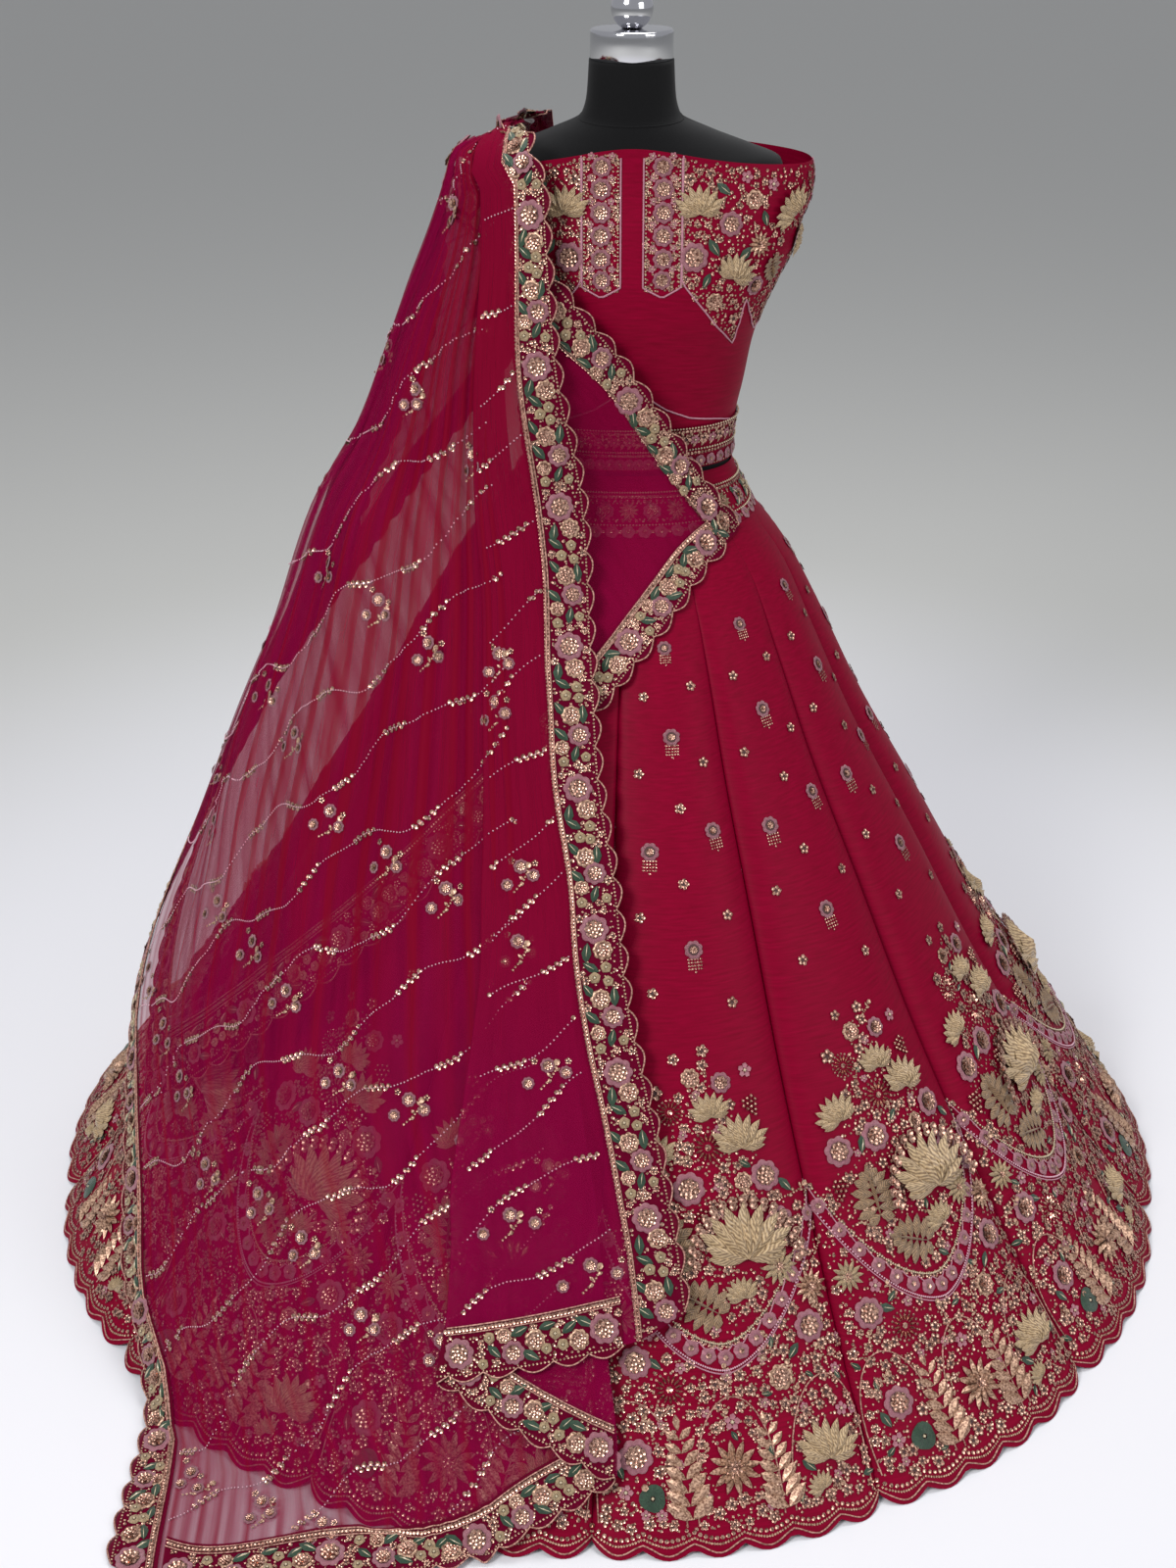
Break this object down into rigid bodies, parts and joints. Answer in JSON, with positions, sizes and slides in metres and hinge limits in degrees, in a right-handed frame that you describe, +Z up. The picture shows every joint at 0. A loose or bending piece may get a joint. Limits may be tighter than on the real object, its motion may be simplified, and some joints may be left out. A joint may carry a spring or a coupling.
{
  "type": "lehenga choli on a dress form",
  "caption": "Flared embroidered lehenga, wrapped choli cloth and a net dupatta draped over one shoulder, shown on a limbless dress form with a round stand.",
  "frame": {"origin": "middle of the stand's underside, on the floor", "axes": "+Z up along the form's axis, the front faces -Y, +X is on the viewer's right in the picture"},
  "size_m": [1.5998, 1.6368, 1.5812],
  "materials": {
    "jersey": "matt black knitted cover",
    "chrome": "polished",
    "silk": "slubbed crimson raw silk with thread and sequin embroidery",
    "net": "sheer crimson net with beaded lines",
    "border": "rose-gold sequins, thread flowers and cord on net"
  },
  "bodies": {
    "root": {"form_torso": "jersey", "form_neck_cap": "chrome", "form_finial": "chrome", "form_base": "chrome", "form_pole_socket": "chrome", "form_pole": "chrome", "choli_front": "silk", "choli_back": "silk", "choli_waist_border": "border", "lehenga_waistband": "silk", "lehenga_kali_01": "silk", "lehenga_kali_02": "silk", "lehenga_kali_03": "silk", "lehenga_kali_04": "silk", "lehenga_kali_05": "silk", "lehenga_kali_06": "silk", "lehenga_kali_07": "silk", "lehenga_kali_08": "silk", "lehenga_kali_09": "silk", "lehenga_kali_10": "silk", "lehenga_kali_11": "silk", "lehenga_kali_12": "silk", "lehenga_kali_13": "silk", "lehenga_kali_14": "silk", "dupatta_under_fall": "net", "dupatta_under_border": "border", "dupatta_under_left_border": "border", "dupatta_under_end_border": "border", "dupatta_front_fall": "net", "dupatta_front_border": "border", "dupatta_left_border": "border", "dupatta_front_end_border": "border", "dupatta_shoulder_loop": "net", "dupatta_loop_inner_border": "border", "dupatta_loop_outer_border": "border"}
  },
  "joints": []
}
